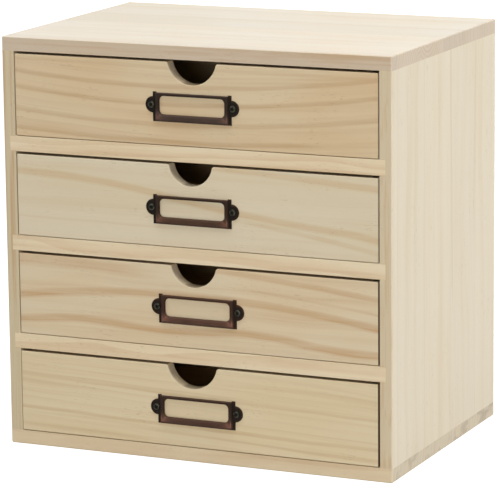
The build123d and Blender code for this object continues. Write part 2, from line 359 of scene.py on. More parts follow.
@dataclass(frozen=True)
class Pine:
    """Bare sanded pine.

    Rings are the distance from the heart's line divided by the ring width. Each ring darkens
    slowly and ends sharply. Fibres, short resin marks and broad patches lie over it, all drawn
    out along the grain. "through" is how fast the fine lines change through the board. Its narrow
    faces can take a colour of their own, and on a drawer front its end faces and the eased edge at
    its right end too: on the fronts this is a dark brown painted shade for the gaps round them, on
    the other boards a tan tint of the narrow faces.
    "half_length" is half the board's length in metres, and "stave" the width of one of the
    glued staves, or 0 for a board in one piece.
    """

    name: str
    grain: Grain
    heart: Heart = Heart()
    pale: Colour = lin(232, 219, 192)
    warm: Colour = lin(226, 204, 170)
    late: Colour = lin(201, 163, 120)
    resin: Colour = lin(158, 120, 82)
    end_tone: Colour = lin(214, 203, 186)
    rings: float = 0.35
    end_rings: float = 0.45
    end_blotches: float = 0.0
    lines: float = 0.3
    edge_lines: float = 0.0
    through: float = 60.0
    patches: float = 0.5
    stave: float = 0.0
    stave_tint: float = 0.0
    # Narrow faces: painted shade for the gaps round the drawer fronts, a tan tint on other boards.
    edge_tint_and_gap_shade: float = 0.0
    edge_tint_and_gap_shade_colour: Colour = lin(196, 164, 126)
    # The eased edge at a front's right end: painted shade for the gap beside it.
    right_gap_shade: float = 0.0
    half_length: float = 1.0
    seed: float = 0.0
    streaks: tuple[Streak, ...] = ()

    def build(self, middle: Vector) -> bpy.types.Material:
        """Makes the material.

        Args:
            middle: The board's middle, in metres.

        Returns:
            The material.
        """
        g = Graph(self.name)
        place = g.position()
        axes = self.grain.value
        along, across, deep = (place[axis] - middle[axis] for axis in axes)
        facing = [abs(part) for part in g.split(g.node("ShaderNodeTexCoord", out="Normal"))]
        end, edge = (facing[axis].ramp(0.6, 0.8) for axis in axes[:2])
        aside, under, tint, seam = self._staves(g, across)
        fibre_line = across - self._flow(g, along, across, deep)

        # Late wood: yearly rings and fine lines, then the board's own streaks over both.
        rings = self._rings(g, along, across + aside, deep + under)
        lines = self._lines(g, along, fibre_line + aside, deep)
        darkening = rings * (end * self.end_rings + self.rings)
        darkening = darkening + lines * (edge * self.edge_lines + self.lines)
        for streak in self.streaks:
            band = self._streak(g, streak, along, across)
            darkening = darkening.at_least(band + darkening * 0.5)

        # Colour: broad warm patches, late wood, staves, resin marks and fibres.
        where = g.vector(along * 7 + self.seed, (fibre_line + aside) * 26, deep * 26 + self.seed)
        patch = g.noise(where, 2.0)
        colour = g.mix(self.pale, self.warm, patch.ramp(0.35, 0.7) * self.patches)
        colour = g.mix(colour, self.late, darkening.at_most(1.0))
        stave_tint = (tint - 0.5) * (end * (2 * self.stave_tint) + self.stave_tint)
        colour = g.shade(colour, 1 + stave_tint)
        colour = g.shade(colour, 1 - seam * 0.14)
        where = g.vector(along * 90, fibre_line * 2600 + self.seed, deep * 2600)
        fibre = g.noise(where, 3.0, 0.6)
        marks = self._marks(g, along, fibre_line, deep)
        colour = g.shade(g.mix(colour, self.resin, marks * 0.22), 0.955 + fibre * 0.09)

        # End grain, then the narrow faces: painted shade for the gaps on the drawer fronts, a tan
        # tint on other boards.
        colour = g.mix(colour, self.end_tone, end * 0.6)
        if self.end_blotches:
            where = g.vector(along * 40, across * 62 + self.seed, deep * 110)
            blotch = g.noise(where, 2.0).ramp(0.5, 0.68)
            colour = g.shade(colour, 1 - end * blotch * self.end_blotches)
        if self.edge_tint_and_gap_shade:
            colour = g.mix(colour, self.edge_tint_and_gap_shade_colour, self._edge_tint_and_gap_shade(along, facing))
        return g.surface(
            colour,
            0.62 + fibre * 0.12 - darkening * 0.06,
            Normal=g.bump(fibre * 0.5 + darkening * 0.5, 0.00016),
            Specular_IOR_Level=0.28,
        )

    def _edge_tint_and_gap_shade(self, along: Sig, facing: Sequence[Sig]) -> Sig:
        """Returns how much the narrow faces, the end faces and the right rim are painted over: on
        the drawer fronts with painted shade for the gaps, on other boards with a tan tint.

        Args:
            along: Place along the grain.
            facing: How far the face looks along X, Y and Z, each from 0 to 1.
        """
        axes = self.grain.value
        narrow = facing[axes[1]].ramp(0.88, 0.97)
        aslant = 1 - facing[axes[2]]
        tip = abs(along).ramp(self.half_length - 0.0006, self.half_length - 0.0003)
        # The eased edge at the right end is painted darker: painted shade for the gap beside it.
        rim = along.ramp(self.half_length - 0.0007, self.half_length - 0.0005)
        narrow_tint_and_gap_shade = narrow.at_least(tip * aslant.ramp(0.6, 0.9)) * self.edge_tint_and_gap_shade
        return narrow_tint_and_gap_shade.at_least(rim * self.right_gap_shade * aslant.ramp(0.15, 0.25))

    def _staves(self, g: Graph, across: Sig) -> tuple[Value, Value, Value, Value]:
        """Returns what sets one glued stave apart: two shifts of its heart, a tint and the seam.

        Args:
            g: The material's graph.
            across: Place across the board.

        Returns:
            Shift across, shift in depth, a random tint from 0 to 1 and 1 on a glue line.
        """
        if not self.stave:
            return 0.0, 0.0, 0.5, 0.0
        width = across / self.stave + self.seed * 0.37
        number = width.floor()
        tint = g.cell(number + self.seed)
        seam = abs(width.fraction() - 0.5).ramp(0.5 - 0.0004 / self.stave, 0.5)
        return (tint - 0.5) * 0.16, (g.cell(number - self.seed) - 0.5) * 0.09, tint, seam

    def _flow(self, g: Graph, along: Sig, across: Sig, deep: Sig) -> Sig:
        """Returns how far the fibres have wandered sideways here, in metres."""
        heart = self.heart
        bend = along * heart.rise + along * along * heart.bow
        wander = g.noise(g.vector(along * 9 + self.seed, across * 14, deep * 14), 1.0)
        return bend + (wander - 0.5) * (2 * heart.wander)

    def _rings(self, g: Graph, along: Sig, across: Sig, deep: Sig) -> Sig:
        """Returns the late wood of the yearly rings, from 0 to 1."""
        heart = self.heart
        wander = g.noise(g.vector(along * 5 + self.seed, across * 9, deep * 9 + 3.1), 2.0)
        from_heart = across - (heart.across + along * heart.rise + along * along * heart.bow)
        depth = deep - (heart.deep + along * heart.dive)
        radius = (from_heart * from_heart + depth * depth).root()
        year = (radius + (wander - 0.5) * (2 * heart.wander)) / heart.ring
        ring = year.fraction()
        strength = g.cell(year.floor() + self.seed) * 0.75 + 0.25
        return ring.ramp(0.25, 0.9) * ring.ramp(1.0, 0.93) * strength

    def _lines(self, g: Graph, along: Sig, across: Sig, deep: Sig) -> Sig:
        """Returns fine uneven lines along the grain, from 0 to 1."""
        coarse = g.noise(g.vector(along * 3 + self.seed, across * 150, deep * self.through), 2.0)
        where = g.vector(along * 6, across * 520 + self.seed, deep * (3 * self.through))
        fine = g.noise(where, 1.0)
        return coarse.ramp(0.5, 0.72) * 0.7 + fine.ramp(0.52, 0.75) * 0.4

    def _marks(self, g: Graph, along: Sig, across: Sig, deep: Sig) -> Sig:
        """Returns short dark resin marks a few millimetres long, from 0 to 1."""
        spots = g.noise(g.vector(along * 210, across * 1300 + self.seed, deep * 1300), 1.0)
        where = g.noise(g.vector(along * 30, across * 60, deep * 60 + self.seed), 1.0)
        return spots.ramp(0.62, 0.74) * where.ramp(0.48, 0.66)

    def _streak(self, g: Graph, streak: Streak, along: Sig, across: Sig) -> Sig:
        """Returns one band of late wood: a soft broad body with a thin darker line in it.

        Args:
            g: The material's graph.
            streak: The band.
            along: Place along the grain.
            across: Place across the board.
        """
        t = along / 0.15
        slope = (streak.right - streak.left) / 2 * MM
        curve = ((streak.right + streak.left) / 2 - streak.middle) * MM
        height = t * t * curve + t * slope + streak.middle * MM
        if streak.wave:
            angle = t * (math.pi * streak.waves) + streak.phase
            height = height + angle.sine() * (streak.wave * MM)
        ripple = g.noise(g.vector(along * 16 + streak.middle, across * 40, streak.left), 2.0)
        height = height + (ripple - 0.5) * (3.0 * MM)
        off = (across - height) / (streak.width * MM)
        body = (1 - off * off).at_least(0.0)
        core = (1 - abs(off + 0.35) * 5).at_least(0.0)
        fade = t.ramp(streak.fade_left - 0.35, streak.fade_left) * t.ramp(
            streak.fade_right + 0.35, streak.fade_right
        )
        broken = g.noise(g.vector(along * 14, across * 260, streak.left + streak.right), 3.0)
        return (body + core * 0.35) * fade * (broken * 1.3 + 0.2) * streak.strength


@dataclass(frozen=True)
class Plywood:
    """Thin bare plywood: a plain face veneer, and three plies on its edges."""

    name: str
    thick_axis: int
    along_axis: int
    face: Colour = lin(206, 180, 142)
    dark: Colour = lin(176, 142, 104)

    def build(self, middle: Vector) -> bpy.types.Material:
        """Makes the material.

        Args:
            middle: The sheet's middle, in metres.

        Returns:
            The material.
        """
        g = Graph(self.name)
        place = g.position()
        through = place[self.thick_axis] - middle[self.thick_axis]
        along = place[self.along_axis]
        other = 3 - self.thick_axis - self.along_axis
        across = place[other]
        bend = (g.noise(g.vector(along * 5, across * 5, 0.0), 1.0) - 0.5) * 0.03
        bands = g.noise(g.vector(along * 2, (across + bend) * 90, 0.0), 3.0)
        colour = g.mix(self.face, self.dark, bands.ramp(0.45, 0.8) * 0.45)
        ply = abs(through).ramp(0.0004, 0.0006)
        edge = 1 - abs(g.split(g.node("ShaderNodeTexCoord", out="Normal"))[self.thick_axis])
        colour = g.mix(colour, self.dark, (1 - ply) * edge.ramp(0.4, 0.6) * 0.7)
        fibre = g.noise(g.vector(along * 80, across * 1800, through * 1800), 3.0, 0.6)
        colour = g.shade(colour, 0.95 + fibre * 0.1)
        return g.surface(colour, 0.7, Normal=g.bump(fibre, 0.00015), Specular_IOR_Level=0.25)


@dataclass(frozen=True)
class Beech:
    """Bare turned hardwood with short flecks along the dowel."""

    name: str = "turned_beech"
    base: Colour = lin(214, 178, 136)
    fleck: Colour = lin(168, 124, 84)

    def build(self) -> bpy.types.Material:
        """Returns the material."""
        g = Graph(self.name)
        x, y, z = g.position()
        flecks = g.noise(g.vector(x * 1200, y * 1200, z * 160), 2.0).ramp(0.55, 0.75)
        colour = g.mix(self.base, self.fleck, flecks)
        return g.surface(colour, 0.6, Normal=g.bump(flecks, 0.0001))


# ------------------------------------------------------------------------------ metal finishes
@dataclass(frozen=True)
class AntiqueBronze:
    """Dark brown plating, near black in the hollows, with copper showing through on the edges.

    The mesh's own attribute gives where hands and cards have polished the plating, and on the
    bottom bar also a painted highlight for light from above: up to a half the plating turns brown,
    and from there on the copper shows. Faces that look up are painted a little paler: a painted
    highlight for light from above.
    """

    name: str = "antique_bronze"
    dark: Colour = lin(26, 20, 15)
    brown: Colour = lin(78, 63, 56)
    copper: Colour = lin(152, 106, 90)
    rubbed: float = 0.6
    seed: float = 0.0

    def build(self) -> bpy.types.Material:
        """Returns the material."""
        g = Graph(self.name)
        x, y, z = g.position()
        rubbed = g.node("ShaderNodeAttribute", {"attribute_name": "rubbed"}, out="Fac")
        upward = g.split(g.node("ShaderNodeTexCoord", out="Normal"))[2]
        clouds = g.noise(g.vector(x * 110 + self.seed, y * 110, z * 110), 3.0)
        grit = g.noise(g.vector(x * 1400, y * 1400, z * 1400), 2.0)
        # Faces that look up are painted paler: a painted highlight for light from above.
        painted_top_light = upward.ramp(0.05, 0.6) * 0.6
        thin = (rubbed * 2).at_most(1.0) * (clouds * 0.8 + 0.55) + painted_top_light
        colour = g.mix(self.dark, self.brown, thin.at_most(1.0))
        wear_and_painted_highlight = (rubbed * 2 - 1).at_least(0.0) * (clouds * 0.8 + 0.5) * (grit * 0.5 + 0.75)
        wear_and_painted_highlight = (wear_and_painted_highlight * self.rubbed).at_most(1.0)
        colour = g.mix(colour, self.copper, wear_and_painted_highlight)
        return g.surface(
            colour,
            0.46 + clouds * 0.14 - wear_and_painted_highlight * 0.1,
            Metallic=0.2 + wear_and_painted_highlight * 0.5,
            Normal=g.bump(grit, 0.00004),
            Specular_IOR_Level=0.1,
        )


@dataclass(frozen=True)
class BlackenedSteel:
    """Near-black screw steel with a faint green cast and a paler ring on each head, a painted
    highlight.
    """

    name: str = "blackened_screw_steel"
    base: Colour = lin(17, 18, 13)
    # Colour of the painted highlight ring on the heads.
    wear_and_painted_light: Colour = lin(88, 86, 72)

    def build(self) -> bpy.types.Material:
        """Returns the material."""
        g = Graph(self.name)
        x, y, z = g.position()
        rubbed = g.node("ShaderNodeAttribute", {"attribute_name": "rubbed"}, out="Fac")
        spots = g.noise(g.vector(x * 420, y * 420, z * 420), 2.0)
        # A paler ring on each head: a painted highlight.
        wear_and_painted_highlight = rubbed * spots.ramp(0.3, 0.65)
        colour = g.mix(self.base, self.wear_and_painted_light, wear_and_painted_highlight)
        return g.surface(
            colour,
            0.4 + spots * 0.2,
            Metallic=0.3,
            Normal=g.bump(spots, 0.00004),
            Specular_IOR_Level=0.12,
        )


@dataclass(frozen=True)
class BareWire:
    """Bare drawn steel wire, a little dull."""

    name: str = "drawn_wire"
    base: Colour = lin(150, 148, 144)
    dull: Colour = lin(96, 92, 88)

    def build(self) -> bpy.types.Material:
        """Returns the material."""
        g = Graph(self.name)
        x, y, z = g.position()
        stain = g.noise(g.vector(x * 900, y * 900, z * 900), 3.0)
        colour = g.mix(self.base, self.dull, stain.ramp(0.4, 0.7))
        return g.surface(colour, 0.4 + stain * 0.2, Metallic=1.0)


# ------------------------------------------------------------------------------ meshes
def mesh_from_grid(
    name: str,
    points: np.ndarray,
    close_rows: bool,
    close_columns: bool,
    attribute: Optional[np.ndarray] = None,
) -> bpy.types.Object:
    """Makes an object from a grid of points, with a quad between each four neighbours.

    Args:
        name: The object's name.
        points: Array of rows by columns by three, in metres.
        close_rows: Whether the last row joins the first.
        close_columns: Whether the last column joins the first.
        attribute: Values of the point attribute "rubbed", rows by columns.

    Returns:
        The object, linked to the scene.
    """
    rows, columns = points.shape[:2]
    index = np.arange(rows * columns).reshape(rows, columns)
    down = np.arange(rows if close_rows else rows - 1)
    side = np.arange(columns if close_columns else columns - 1)
    i, j = np.meshgrid(down, side, indexing="ij")
    i_next = (i + 1) % rows
    j_next = (j + 1) % columns
    faces = np.stack(
        (index[i, j], index[i, j_next], index[i_next, j_next], index[i_next, j]), axis=-1
    ).reshape(-1, 4)
    mesh = bpy.data.meshes.new(name)
    mesh.from_pydata(points.reshape(-1, 3).tolist(), [], faces.tolist())
    if attribute is not None:
        rubbed = mesh.attributes.new("rubbed", "FLOAT", "POINT")
        rubbed.data.foreach_set("value", attribute.astype(np.float32).ravel())
    mesh.polygons.foreach_set("use_smooth", np.ones(len(mesh.polygons), dtype=bool))
    mesh.update()
    made = bpy.data.objects.new(name, mesh)
    bpy.context.scene.collection.objects.link(made)
    return made


def join(name: str, objects: Iterable[bpy.types.Object]) -> bpy.types.Object:
    """Joins objects into the first one and renames it.

    Args:
        name: The new name.
        objects: The objects, which have no parents.

    Returns:
        The joined object.
    """
    objects = list(objects)
    with bpy.context.temp_override(
        active_object=objects[0], selected_editable_objects=objects, selected_objects=objects
    ):
        bpy.ops.object.join()
    objects[0].name = name
    objects[0].data.name = name
    return objects[0]


def weld(target: bpy.types.Object, distance: float) -> None:
    """Merges points that lie together and turns every face outwards.

    Args:
        target: The object.
        distance: How near two points are to count as one, in metres.
    """
    work = bmesh.new()
    work.from_mesh(target.data)
    bmesh.ops.remove_doubles(work, verts=work.verts, dist=distance)
    bmesh.ops.recalc_face_normals(work, faces=work.faces)
    work.to_mesh(target.data)
    work.free()
    target.data.update()


def rounded_ring(
    half_x: np.ndarray,
    low_y: np.ndarray,
    high_y: np.ndarray,
    radius: np.ndarray,
    corner_points: int,
    side_points: int,
) -> np.ndarray:
    """Points round nested rectangles with rounded corners.

    Each corner is a quarter circle: its centre is the rectangle's corner drawn in by the
    radius, and its points are the centre plus the radius times the cosine and sine of the
    angle. The straight sides between the corners are divided evenly.

    Args:
        half_x: Half the width of each rectangle.
        low_y: Its lower side.
        high_y: Its upper side.
        radius: Its corner radius.
        corner_points: Points in each corner.
        side_points: Points between two corners.

    Returns:
        Array of rectangles by points by two.
    """
    quarter = np.linspace(0.0, math.pi / 2, corner_points)
    share = np.linspace(0.0, 1.0, side_points + 2)[1:-1, None]
    inset = radius[:, None]
    corners = []
    for turn, (right, upper) in enumerate(((1, 1), (-1, 1), (-1, 0), (1, 0))):
        angle = quarter + turn * math.pi / 2
        centre_x = right * (half_x[:, None] - inset)
        centre_y = high_y[:, None] - inset if upper else low_y[:, None] + inset
        x = centre_x + inset * np.cos(angle)
        y = centre_y + inset * np.sin(angle)
        corners.append(np.stack((x, y), axis=-1))
    pieces = []
    for corner, after in zip(corners, corners[1:] + corners[:1]):
        start, stop = corner[:, -1:], after[:, :1]
        pieces += [corner, start + share * (stop - start)]
    return np.concatenate(pieces, axis=1)


def crease(target: bpy.types.Object, degrees: float) -> None:
    """Keeps the edges sharp whose faces meet at more than an angle in degrees."""
    target.data.set_sharp_from_angle(angle=math.radians(degrees))


@dataclass
class LabelFrame:
    """A pressed label frame, as on the drawer fronts. Sizes are in millimetres.

    In its own axes X runs across, Y up the front and Z out of the wood. The four bars are one
    shell of nested rounded rectangles, one for each point of the pressed profile: up the foot,
    up the outer bevel, over the crown, down the inner bevel to the window's lip and back under
    the sheet. Each end has a flat band and a plate with a round ear round its screw hole.
    """

    window_width: float = 53.5
    window_height: float = 14.0
    window_radius: float = 3.5
    bottom_bar: float = 5.5
    top_bar: float = 2.35
    end_bar: float = 3.45
    bottom_bevel: float = 2.2
    top_bevel: float = 0.5
    end_bevel: float = 1.2
    lip_bevel: float = 1.2
    flange: float = 2.05
    step: float = 0.65
    sheet: float = 0.8
    lip_low: float = 0.6
    card_slot: float = 0.7
    ear_radius: float = 6.2
    ear_height: float = 1.4
    hole_radius: float = 1.5
    screw_past_end: float = 1.15
    corner_points: int = 9
    side_points: int = 12
    polish_reach: float = 3.2

    # Points of the pressed profile: share of the bevel, height over the wood and rubbing.
    flank: tuple[Point, ...] = (
        (0.00, 0.00, 0.00), (0.00, 0.90, 0.05), (0.03, 1.14, 0.15), (0.10, 1.28, 0.12),
        (0.30, 1.62, 0.05), (0.55, 1.98, 0.08), (0.80, 2.27, 0.25), (0.93, 2.36, 0.50),
        (1.10, 2.40, 0.35),
    )
    inner: tuple[Point, ...] = (
        (1.10, 2.40, 0.30), (0.90, 2.33, 0.45), (0.70, 2.15, 0.25), (0.45, 1.85, 0.15),
        (0.22, 1.60, 0.25), (0.10, 1.46, 0.60), (0.03, 1.32, 0.90), (0.00, 1.12, 0.50),
        (0.00, 0.75, 0.00),
    )

    @property
    def raised_half(self) -> float:
        """Half the width of the raised part."""
        return self.window_width / 2 + self.end_bar

    @property
    def half_width(self) -> float:
        """Half the width over the flat bands."""
        return self.raised_half + self.flange

    @property
    def height(self) -> float:
        """Height over the flat bands."""
        return self.bottom_bar + self.window_height + self.top_bar + self.step

    def build(self, name: str, middle_x: float, low_z: float, wood_y: float) -> bpy.types.Object:
        """Makes the frame in its place.

        Args:
            name: The piece's name.
            middle_x: The frame's middle, in metres.
            low_z: Its lower edge.
            wood_y: The face of the drawer's front.

        Returns:
            The piece.
        """
        parts = [self._bars(name)]
        parts += [self._end_plate(f"{name}_plate", end) for end in (-1, 1)]
        piece = join(name, parts)
        place = Matrix.Translation((middle_x, wood_y, low_z + self.height / 2 * MM))
        piece.data.transform(place @ Matrix.Rotation(math.pi / 2, 4, "X") @ Matrix.Scale(MM, 4))
        crease(piece, 40.0)
        return piece

    def _across(self, width: float, bevel: float) -> np.ndarray:
        """Returns how far each point of the profile lies from a bar's outer edge.

        Args:
            width: Width of the bar.
            bevel: Width of its outer bevel.
        """
        outer = bevel * np.array([point[0] for point in self.flank])
        lip = width - self.lip_bevel * np.array([point[0] for point in self.inner])
        return np.concatenate((outer, lip))

    def _bars(self, name: str) -> bpy.types.Object:
        """Returns the four bars as one closed shell, in millimetres.

        Args:
            name: The mesh's name.
        """
        over = np.array([point[1] for point in self.flank + self.inner])
        rubbed = np.array([point[2] for point in self.flank + self.inner])
        sides = [
            self._across(width, bevel)
            for width, bevel in (
                (self.end_bar, self.end_bevel),
                (self.bottom_bar, self.bottom_bevel),
                (self.top_bar, self.top_bevel),
            )
        ]
        widths = (self.end_bar, self.bottom_bar, self.top_bar)
        under = np.clip(over - self.sheet, 0.0, None)
        under[len(self.flank):] = np.clip(under[len(self.flank):], self.lip_low, None)
        wall = 0.62 * self.sheet
        turned = [np.clip(side, wall, width - wall)[::-1] for side, width in zip(sides, widths)]
        ends, low, high = (np.concatenate(pair) for pair in zip(sides, turned))
        height = np.concatenate((over, under[::-1]))
        rubbed = np.concatenate((rubbed, np.zeros(len(under))))
        to_lip = self.end_bar - ends
        radius = np.where(to_lip < 1.2 * self.lip_bevel, self.window_radius + to_lip, 0.25)
        foot = -self.height / 2
        ring = rounded_ring(
            self.raised_half - ends,
            foot + low,
            -foot - self.step - high,
            radius,
            self.corner_points,
            self.side_points,
        )
        depth = np.broadcast_to(height[:, None], ring.shape[:2])
        over_window = ring[..., 1] > foot + self.bottom_bar + self.window_height - self.lip_bevel
        depth = np.where(over_window, np.maximum(depth, self.card_slot), depth)
        outside = (np.arange(len(height)) < len(over))[:, None]
        low_bar = ring[..., 1] < foot + self.bottom_bar
        raised = np.clip(height - 1.2, 0.0, 1.0)[:, None]
        # The bottom bar is painted paler than the top and end bars, most on its raised parts: a
        # painted highlight for light from above. Ridges and the window's lower corners are polished
        # by hands.
        bare = np.where(low_bar, 0.16 + 0.24 * raised, 0.12) + rubbed[:, None] * 0.1
        wear_and_painted_light = outside * (bare + self._polish(ring) * (0.25 + 0.75 * rubbed[:, None]))
        bars = mesh_from_grid(name, np.dstack((ring, depth)), True, True, wear_and_painted_light)
        weld(bars, 0.0001)
        return bars

    def _polish(self, ring: np.ndarray) -> np.ndarray:
        """Returns how much hands polish each place: most at the window's lower corners."""
        corner = np.array((self.raised_half - 2.6, -self.height / 2 + 4.2))
        away = np.stack((np.abs(ring[..., 0]), ring[..., 1]), axis=-1) - corner
        return np.exp(-((np.linalg.norm(away, axis=-1) / self.polish_reach) ** 2))

    def _outline(self) -> tuple[np.ndarray, np.ndarray]:
        """Points round the right end's plate, and the angle round the hole each belongs to.

        The path goes up round the ear, up the band's end, along its top to the raised part,
        down behind it and back along the bottom to the ear.
        """
        inner = self.raised_half - self.sheet
        half = self.height / 2
        turn = np.radians(np.linspace(-90, 90, 49))
        ear = np.stack((np.cos(turn), np.sin(turn)), axis=-1) * self.ear_radius
        ear += (self.half_width, self.ear_height)
        corners = np.array((
            ear[-1], (self.half_width, half), (inner, half),
            (inner, -half), (self.half_width, -half), ear[0],
        ))
        angles = (130.0, 138.0, 150.0, 210.0, 222.0, 230.0)
        steps = np.linspace(0, 5, 41)[1:-1]
        back = np.interp(steps, np.arange(6), angles)
        sides = [np.interp(steps, np.arange(6), corners[:, axis]) for axis in (0, 1)]
        path = np.concatenate((ear, np.stack(sides, axis=-1)))
        around = np.concatenate((np.degrees(turn) * 130 / 90, back))
        return path, np.radians(around)

    def _end_plate(self, name: str, end: int) -> bpy.types.Object:
        """Returns the flat band and the ear of one end as a closed plate round its screw hole.

        Args:
            name: The mesh's name.
            end: -1 for the left end and +1 for the right.
        """
        path, around = self._outline()
        hole = np.array((self.half_width + self.screw_past_end, self.ear_height))
        rim = hole + self.hole_radius * np.stack((np.cos(around), np.sin(around)), axis=-1)
        steps = np.array((0.0, 0.05, 0.5, 0.96, 1.0))[:, None, None]
        flat = rim + steps * (path - rim)
        top = np.full(flat.shape[:2], self.sheet)
        top[[0, -1]] -= 0.15
        upper = np.dstack((flat, top))
        lower = np.dstack((flat[::-1], np.zeros(flat.shape[:2])))
        points = np.concatenate((upper, lower)) * (end, 1, 1)
        rub_and_painted_highlight = np.array((0.1, 0.0, 0.0, 0.12, 0.5, 0, 0, 0, 0, 0)) * (0.2 if end < 0 else 0.8)
        wear_and_painted_light = np.broadcast_to(rub_and_painted_highlight[:, None], points.shape[:2])
        plate = mesh_from_grid(name, points, True, True, wear_and_painted_light)
        weld(plate, 0.0001)
        return plate


@dataclass
class RoundHeadScrew:
    """A round-head wood screw with a cross recess. Sizes are in millimetres.

    The head's height is a dome that falls to its rim, less the recess, which is deep where both
    the cross's arm is near and the middle is near. The shank is a round wall whose radius rises
    along a helix to the thread's crest and tapers to a point.
    """

    head_radius: float = 3.0
    head_height: float = 1.7
    arm_half_width: float = 0.42
    arm_reach: float = 1.6
    recess: float = 0.95
    shank_radius: float = 1.05
    thread: float = 0.25
    pitch: float = 1.1
    length: float = 9.5
    around: int = 48

    def build(self, name: str, middle: Point, turn: float) -> bpy.types.Object:
        """Makes the screw in its place, pointing into the wood along +Y.

        Args:
            name: The mesh's name.
            middle: The foot of the head, in metres.
            turn: How far the cross is turned, in degrees.

        Returns:
            The screw.
        """
        head = self._head()
        shank = self._shank()
        points = np.concatenate((head, shank))
        radius = np.linalg.norm(head[..., :2], axis=-1)
        # A ring round the head's shoulder, marked for the paler colour: a painted highlight.
        rub_and_painted_highlight = np.exp(-(((radius - 1.95) / 0.45) ** 2))
        wear_and_painted_light = np.concatenate((rub_and_painted_highlight, np.zeros(shank.shape[:2])))
        screw = mesh_from_grid(name, points, False, True, wear_and_painted_light)
        weld(screw, 0.0001)
        spin = Matrix.Rotation(math.radians(turn), 4, "Z")
        lie = Matrix.Rotation(math.pi / 2, 4, "X")
        screw.data.transform(Matrix.Translation(middle) @ lie @ spin @ Matrix.Scale(MM, 4))
        crease(screw, 50.0)
        return screw

    def _head(self) -> np.ndarray:
        """Returns the head's grid, from the crown's middle out to the rim and back under it."""
        angle = np.linspace(0, 2 * math.pi, self.around, endpoint=False)
        outward = np.append(np.linspace(0, 1, 26) ** 0.9, 1.0)
        radius = outward * self.head_radius
        x = radius[:, None] * np.cos(angle)
        y = radius[:, None] * np.sin(angle)
        ball = (self.head_radius**2 + self.head_height**2) / (2 * self.head_height)
        dome = np.sqrt(np.clip(ball**2 - x**2 - y**2, 0, None)) + self.head_height - ball
        near = np.minimum(np.abs(x), np.abs(y))
        far = np.maximum(np.abs(x), np.abs(y))
        arm = 1 / (1 + np.exp((near - self.arm_half_width) / 0.06))
        reach = 1 / (1 + np.exp((far - self.arm_reach) / 0.08))
        depth = self.recess * (1 - 0.5 * far / self.arm_reach)
        z = np.clip(dome, 0.12, None) - arm * reach * np.clip(depth, 0, None)
        z[-1] = 0.0
        return np.dstack((x, y, z))

    def _shank(self) -> np.ndarray:
        """Returns the threaded shank's grid, from under the head to the point."""
        angle = np.linspace(0, 2 * math.pi, self.around, endpoint=False)
        depth = np.concatenate(([0.0], np.linspace(0.0, self.length, 70)))[:, None]
        turns = depth / self.pitch - angle / (2 * math.pi)
        crest = np.abs((turns % 1.0) - 0.5) * 2
        taper = np.clip((self.length - depth) / 2.2, 0, 1)
        threaded = np.clip((depth - 1.6) / 0.6, 0, 1)
        radius = (self.shank_radius + self.thread * threaded * crest**3) * taper
        return np.dstack(
            (radius * np.cos(angle), radius * np.sin(angle), np.broadcast_to(-depth, radius.shape))
        )


# ------------------------------------------------------------------------------ sub-assemblies
def dress(node: str, material: bpy.types.Material) -> None:
    """Gives a carried-over piece its finish.

    Args:
        node: The piece's name.
        material: The finish.
    """
    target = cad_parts[node]
    target.data.materials.clear()
    target.data.materials.append(material)
    LOG.info("%s is finished in %s", node, material.name)


def middle_of(node: str) -> Vector:
    """Returns the middle of a carried-over piece's box."""
    low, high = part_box(node)
    return (low + high) / 2


